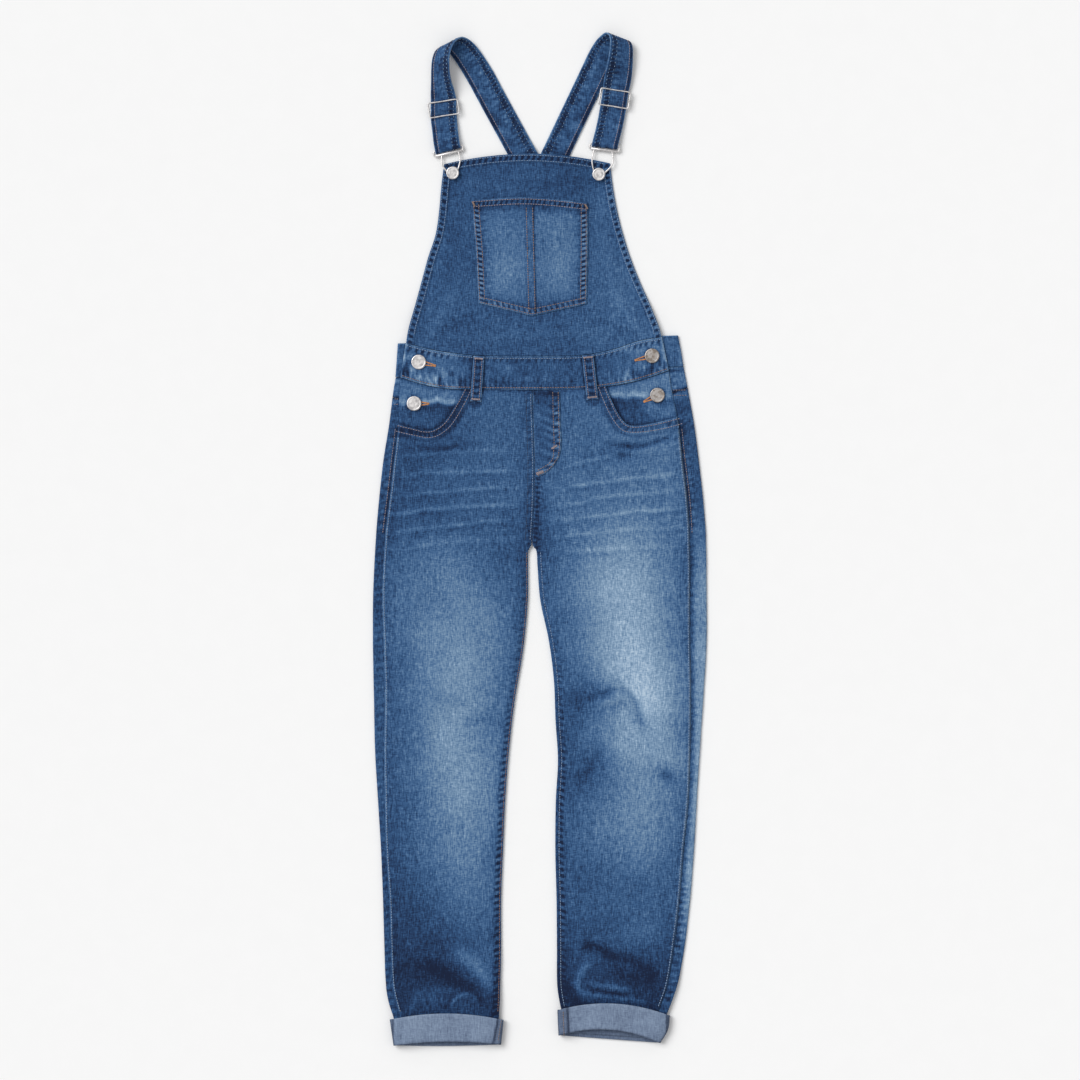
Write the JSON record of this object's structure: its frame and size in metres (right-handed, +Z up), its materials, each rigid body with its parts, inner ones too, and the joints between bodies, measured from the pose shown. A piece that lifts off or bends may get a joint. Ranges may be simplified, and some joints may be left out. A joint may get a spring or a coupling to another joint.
{
  "type": "denim dungarees",
  "caption": "Denim dungarees laid flat: bib with pocket, crossed shoulder straps with sliders and wire buckles, buttoned side openings, long legs with turned-up cuffs.",
  "frame": {"origin": "centre of the garment's outline, on the surface it lies on", "axes": "+X to the right seen from above, +Y towards the shoulder straps, +Z up from the surface"},
  "size_m": [0.3838, 1.1648, 0.0232],
  "materials": {
    "denim": "washed blue twill, matt",
    "denim_reverse": "pale wrong side of the twill, matt",
    "steel": "dull nickel plate"
  },
  "bodies": {
    "root": {"back_leg_left": "denim", "back_yoke_left": "denim", "front_leg_left": "denim", "pocket_facing_left": "denim", "belt_loop_left": "denim", "strap_left": "denim", "cuff_left": "denim_reverse", "slider_left": "steel", "buckle_left": "steel", "button_bib_left": "steel", "button_waist_left": "steel", "button_hip_left": "steel", "back_leg_right": "denim", "back_yoke_right": "denim", "front_leg_right": "denim", "pocket_facing_right": "denim", "belt_loop_right": "denim", "strap_right": "denim", "cuff_right": "denim_reverse", "slider_right": "steel", "buckle_right": "steel", "button_bib_right": "steel", "button_waist_right": "steel", "button_hip_right": "steel", "back_waistband": "denim", "front_waistband": "denim", "bib": "denim", "bib_pocket": "denim", "fly": "denim"}
  },
  "joints": []
}
